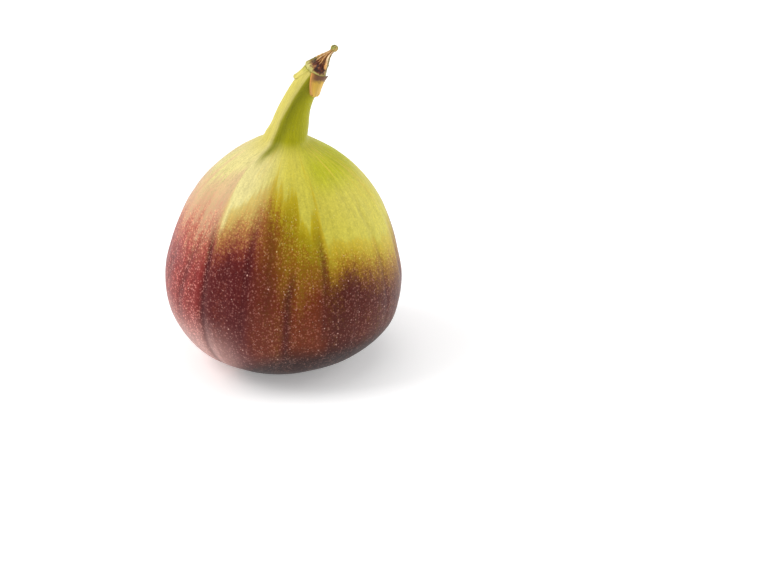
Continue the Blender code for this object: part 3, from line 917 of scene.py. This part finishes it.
def make_eye_scales():
    """The scales that close the eye. A sine of their number makes some a little wider than others."""
    finish = bract_material("eye scale", (150, 110, 60), (104, 52, 40), (84, 34, 40), 0.55)
    across, down, side = leaf_parameters(SCALE_ROWS, SCALE_STEPS)
    lift = 0.5 * SCALE_THICKNESS * (1.0 - 0.5 * down) * side
    edge = 0.8 * np.maximum(bell((np.abs(across) - 1.0) / 0.2), bell((down - 1.0) / 0.2))
    for ring in SCALE_RINGS:
        for k in range(ring.count):
            node = f"eye_scale_{ring.name}_{k + 1}"
            middle = math.radians(ring.first_angle) + 2.0 * math.pi * k / ring.count
            half_sector = math.pi / ring.count * (0.92 + 0.05 * math.sin(3.1 * k))
            grid = scale_points(ring, middle, half_sector, across, down, lift)
            fields = {"pattern": vectors(across * MM, k * MM, down * 2.5 * MM), "down": down, "edge": edge}
            fit_piece(surface(node + "_leaf", grid, finish, fields), node)


# ---------------------------------------------------------------- floor, light and camera

FLOOR_HALF = 3.0
FLOOR_CORNERS = [(x * FLOOR_HALF, y * FLOOR_HALF, 0.0) for x, y in ((-1, -1), (1, -1), (1, 1), (-1, 1))]
WHITE = (1.0, 1.0, 1.0, 1.0)
ROOM_LIGHT = 0.50
LIGHT_TARGET = (0.0, 0.0, 0.03)
# The square soft lights: (name, place, side, power).
LIGHTS = (
    ("key", (-0.56, -0.04, 0.56), 0.50, 3.5),
    ("top", (0.05, 0.10, 0.90), 0.80, 2.0),
    ("right edge", (0.70, 0.20, 0.30), 0.50, 2.2),
)

LENS, SENSOR = 120.0, 36.0
LIFT = math.radians(25.0)  # the camera looks down by this
DISTANCE = 21.76 * BODY_RADIUS  # from the camera to the spine's middle
MIDDLE_HEIGHT = 26.0 * MM
AIM_RIGHT, AIM_DOWN = 22.92 * MM, 10.88 * MM  # what the camera aims at, from the spine's middle


def make_floor():
    """A wide white floor under the fig, which glows a little so that it stays white."""
    finish, _, shader = new_material("white floor", 0.9)
    shader["Base Color"].default_value = (0.95, 0.95, 0.95, 1.0)
    shader["Specular IOR Level"].default_value = 0.0
    shader["Emission Color"].default_value = WHITE
    shader["Emission Strength"].default_value = 0.26
    mesh = bpy.data.meshes.new("floor")
    mesh.from_pydata(FLOOR_CORNERS, [], [(0, 1, 2, 3)])
    mesh.materials.append(finish)
    floor = bpy.data.objects.new("floor", mesh)
    bpy.context.scene.collection.objects.link(floor)


def turn_towards(thing, target):
    """Turns a light or a camera so that it faces a point, with its own up kept upwards."""
    thing.rotation_euler = (Vector(target) - thing.location).to_track_quat("-Z", "Y").to_euler()


def make_lights():
    """A white room, and the soft lights in it."""
    world = bpy.data.worlds.new("white room")
    world.use_nodes = True
    world.node_tree.nodes["Background"].inputs["Color"].default_value = WHITE
    world.node_tree.nodes["Background"].inputs["Strength"].default_value = ROOM_LIGHT
    bpy.context.scene.world = world
    for name, place_at, size, power in LIGHTS:
        data = bpy.data.lights.new(name, "AREA")
        data.size = size
        data.energy = power
        lamp = bpy.data.objects.new(name, data)
        lamp.location = place_at
        turn_towards(lamp, LIGHT_TARGET)
        bpy.context.scene.collection.objects.link(lamp)


def make_camera():
    """A long lens in front of the fig, which looks down on it and aims to its right, below its middle."""
    right = Vector((1.0, 0.0, 0.0))
    up = Vector((0.0, math.sin(LIFT), math.cos(LIFT)))
    back = Vector((0.0, -math.cos(LIFT), math.sin(LIFT)))
    middle = Vector(FOOT) + Vector((0.0, 0.0, MIDDLE_HEIGHT))
    data = bpy.data.cameras.new("camera")
    data.lens, data.sensor_width = LENS, SENSOR
    camera = bpy.data.objects.new("camera", data)
    camera.location = middle + back * DISTANCE
    turn_towards(camera, middle + right * AIM_RIGHT - up * AIM_DOWN)
    bpy.context.scene.collection.objects.link(camera)
    bpy.context.scene.camera = camera


bpy.context.scene.view_settings.view_transform = "Standard"
make_camera()
make_lights()
make_floor()
make_body()
make_stub()
make_bracts()
make_eye_scales()
